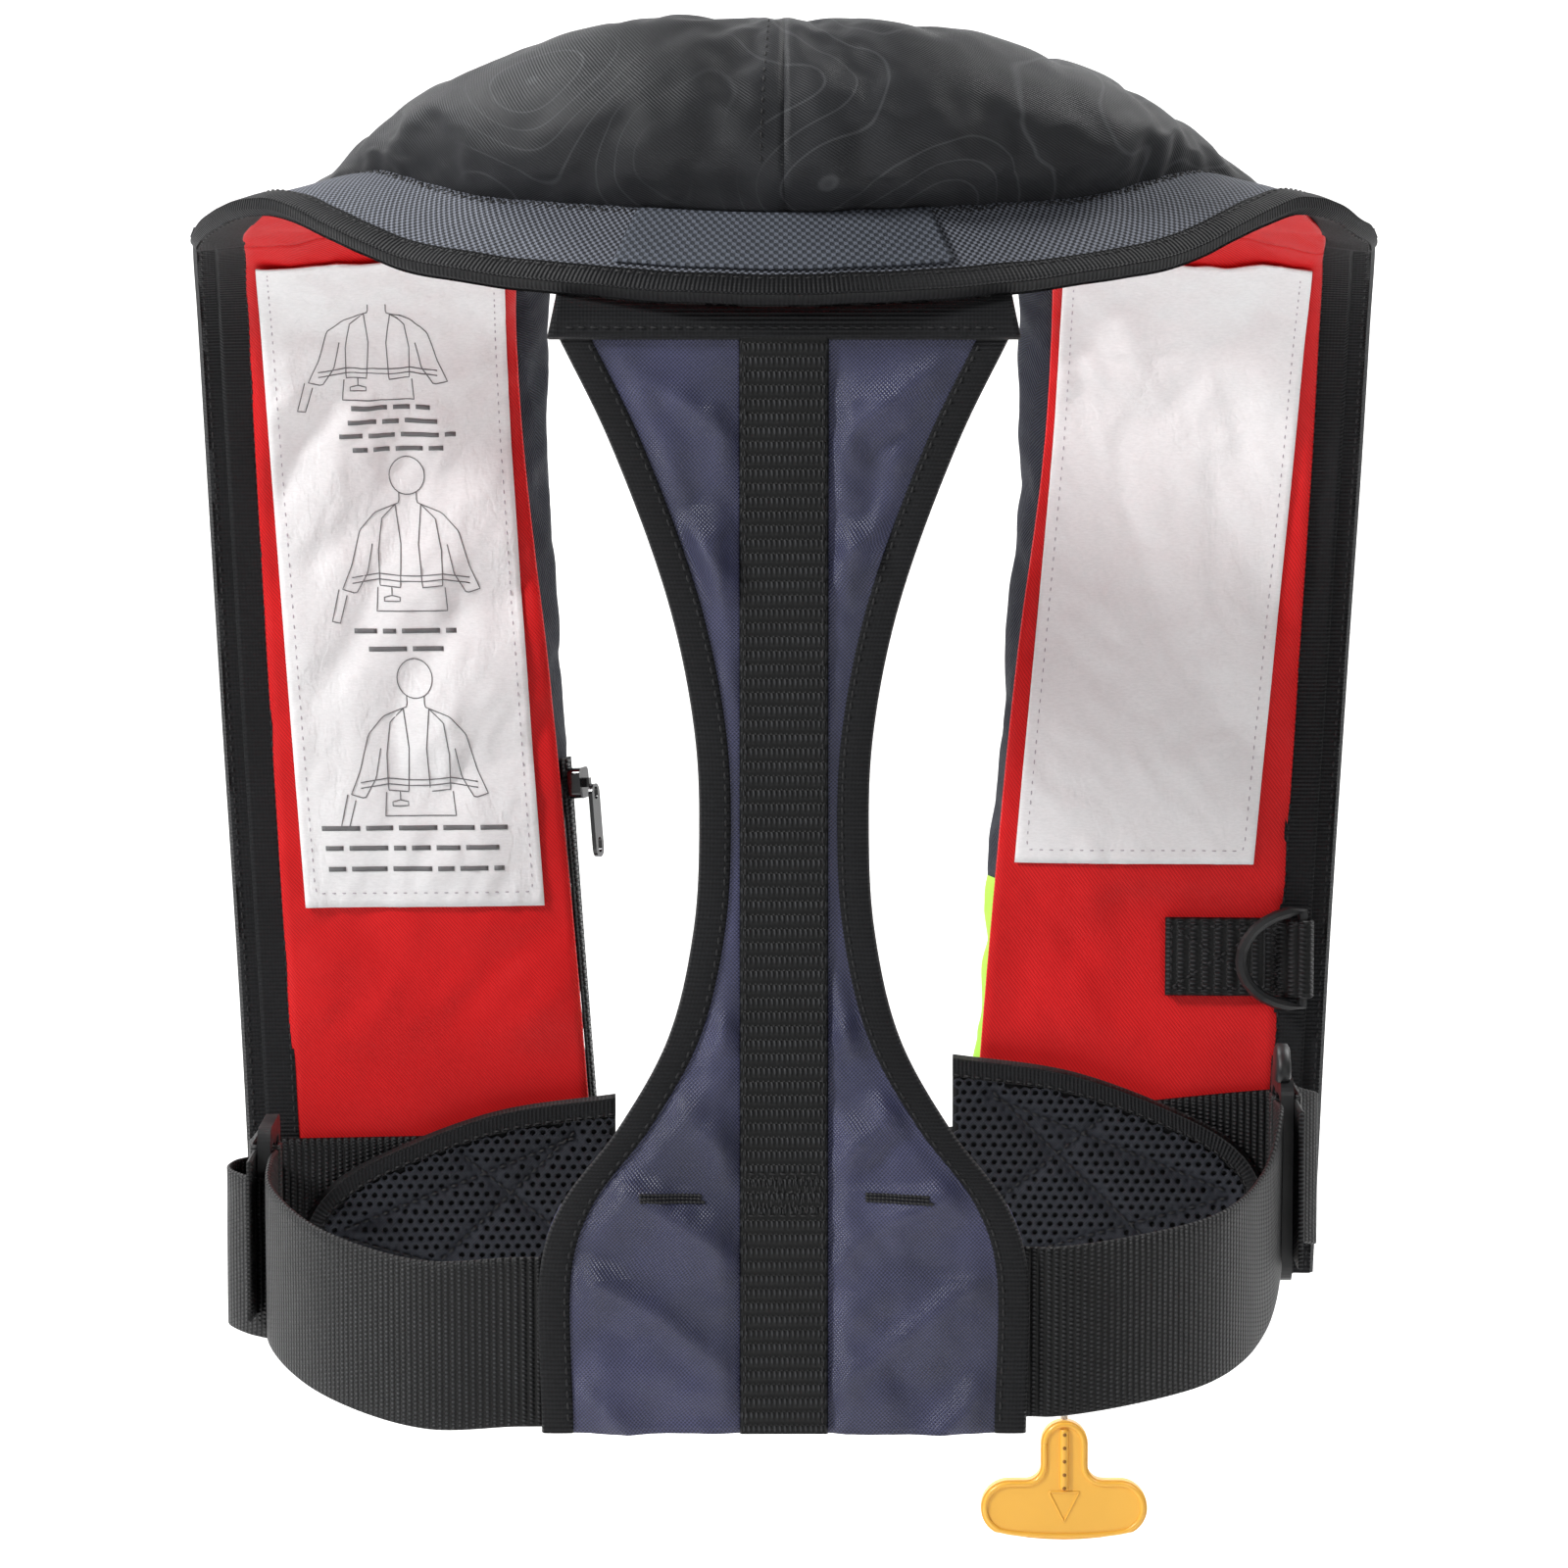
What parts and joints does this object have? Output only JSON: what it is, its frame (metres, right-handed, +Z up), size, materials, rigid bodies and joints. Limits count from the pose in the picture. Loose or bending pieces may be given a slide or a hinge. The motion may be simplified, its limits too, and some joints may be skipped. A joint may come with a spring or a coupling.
{
  "type": "inflatable life jacket",
  "caption": "Worn-shape inflatable life jacket: padded collar and chest lobes, hourglass back yoke, waist belt with front buckle, D-ring and pull handle.",
  "frame": {"origin": "the point midway between the wearer's shoulder tops, where the inside of the jacket rests on the shoulders", "axes": "+X towards the wearer's right hand, +Y forwards from back to chest, +Z up along the wearer's spine"},
  "size_m": [0.3697, 0.251, 0.4924],
  "materials": {
    "printed_fabric": "tight-woven charcoal nylon with a tone-on-tone contour print",
    "navy_fabric": "navy twill nylon",
    "hivis_fabric": "fluorescent yellow-green fabric",
    "red_lining": "red nylon twill with a soft sheen",
    "woven_trim": "coarse grey and black basket weave",
    "binding_tape": "black grosgrain tape",
    "label_film": "creased white spun film",
    "spacer_mesh": "black spacer mesh with hexagonal holes",
    "coated_nylon": "indigo coated nylon with a slight sheen",
    "webbing": "black polyester webbing",
    "black_plastic": "satin black acetal",
    "zipper_enamel": "glossy black enamel",
    "steel": "satin steel",
    "yellow_plastic": "satin yellow plastic",
    "bladder_film": "yellow coated fabric",
    "cord": "white braided cord"
  },
  "bodies": {
    "jacket": {"adjuster_left": "black_plastic", "adjuster_right": "black_plastic", "back_strap": "webbing", "backing_collar": "red_lining", "backing_left": "red_lining", "backing_right": "red_lining", "belt_sleeve": "coated_nylon", "bladder": "bladder_film", "buckle_lead_left": "webbing", "buckle_lead_right": "webbing", "buckle_socket": "black_plastic", "chest_cover_left": "navy_fabric", "chest_cover_right": "navy_fabric", "closure_flap_left": "binding_tape", "closure_flap_right": "binding_tape", "collar_binding": "binding_tape", "collar_cover_left": "printed_fabric", "collar_cover_right": "printed_fabric", "collar_patch": "woven_trim", "collar_trim": "woven_trim", "cord_eyelet": "steel", "edge_binding_left": "binding_tape", "edge_binding_right": "binding_tape", "foot_panel_left": "navy_fabric", "foot_panel_right": "navy_fabric", "front_strap_left": "webbing", "front_strap_right": "webbing", "hivis_panel": "hivis_fabric", "inflator_body": "black_plastic", "inflator_cover": "navy_fabric", "label_left": "label_film", "label_right": "label_film", "manifold": "black_plastic", "mesh_pad_left": "spacer_mesh", "mesh_pad_right": "spacer_mesh", "oral_elbow": "black_plastic", "oral_tube": "black_plastic", "pad_binding_left": "binding_tape", "pad_binding_right": "binding_tape", "ring_tab": "webbing", "waist_belt": "webbing", "yoke_binding_left": "binding_tape", "yoke_binding_right": "binding_tape", "yoke_head": "binding_tape", "yoke_panel": "coated_nylon", "zipper_chain": "zipper_enamel"},
    "ring": {"d_ring": "black_plastic"},
    "slider": {"zip_slider": "zipper_enamel"},
    "zip_tongue": {"zip_pull": "zipper_enamel"},
    "lanyard": {"pull_lanyard": "cord"},
    "handle": {"pull_tab": "yellow_plastic"},
    "lever": {"inflator_lever": "yellow_plastic"},
    "cylinder": {"gas_cylinder": "steel"},
    "sensor": {"sensor_cap": "yellow_plastic"},
    "plug": {"buckle_plug": "black_plastic"},
    "arm_upper": {"buckle_arm_upper": "black_plastic"},
    "arm_lower": {"buckle_arm_lower": "black_plastic"},
    "valve": {"oral_valve": "yellow_plastic"},
    "tube_cap": {"oral_cap": "black_plastic"}
  },
  "joints": [
    {"name": "ring_swing", "type": "hinge", "parent": "jacket", "child": "ring", "pos_m": [0.16687, 0.0872, -0.231], "axis": [0, 0, 1], "range_deg": [0, 140]},
    {"name": "zip_slide", "type": "slide", "parent": "jacket", "child": "slider", "axis": [0.0747, -0.0092, -0.9972], "range_m": [0, 0.08]},
    {"name": "zip_pull_swing", "type": "hinge", "parent": "slider", "child": "zip_tongue", "pos_m": [-0.06176, 0.10403, -0.17683], "axis": [-0.3367, -0.9413, -0.0251], "range_deg": [0, 100]},
    {"name": "lanyard_pull", "type": "slide", "parent": "jacket", "child": "lanyard", "axis": [0, 0, -1], "range_m": [0, 0.02]},
    {"name": "handle_swing", "type": "hinge", "parent": "lanyard", "child": "handle", "pos_m": [0.0925, 0.1135, -0.39605], "axis": [0, 1, 0], "range_deg": [-30, 30]},
    {"name": "lever_turn", "type": "hinge", "parent": "jacket", "child": "lever", "pos_m": [0.1095, 0.1135, -0.2973], "axis": [0, -1, 0], "range_deg": [0, 67.4]},
    {"name": "cylinder_turn", "type": "hinge", "parent": "jacket", "child": "cylinder", "pos_m": [0.1, 0.1135, -0.24], "axis": [0, 0, 1], "continuous": true},
    {"name": "sensor_turn", "type": "hinge", "parent": "jacket", "child": "sensor", "pos_m": [0.0817, 0.1135, -0.278], "axis": [1, 0, 0], "continuous": true},
    {"name": "plug_slide", "type": "slide", "parent": "jacket", "child": "plug", "axis": [1, 0, 0], "range_m": [0, 0.026], "deforming": ["buckle_lead_right"]},
    {"name": "arm_squeeze", "type": "hinge", "parent": "plug", "child": "arm_upper", "pos_m": [-0.0037, 0.097, -0.295], "axis": [0, -1, 0], "range_deg": [0, 7]},
    {"name": "arm_squeeze_lower", "type": "hinge", "parent": "plug", "child": "arm_lower", "pos_m": [-0.0037, 0.097, -0.333], "axis": [0, 1, 0], "range_deg": [0, 7]},
    {"name": "valve_press", "type": "slide", "parent": "jacket", "child": "valve", "axis": [0, 0, -1], "range_m": [0, 0.003]},
    {"name": "cap_lift", "type": "slide", "parent": "jacket", "child": "tube_cap", "axis": [0, 0, 1], "range_m": [0, 0.02]}
  ],
  "couplings": [
    {"joint": "lanyard_pull", "follows": "lever_turn", "m_per_rad": 0.017}
  ]
}
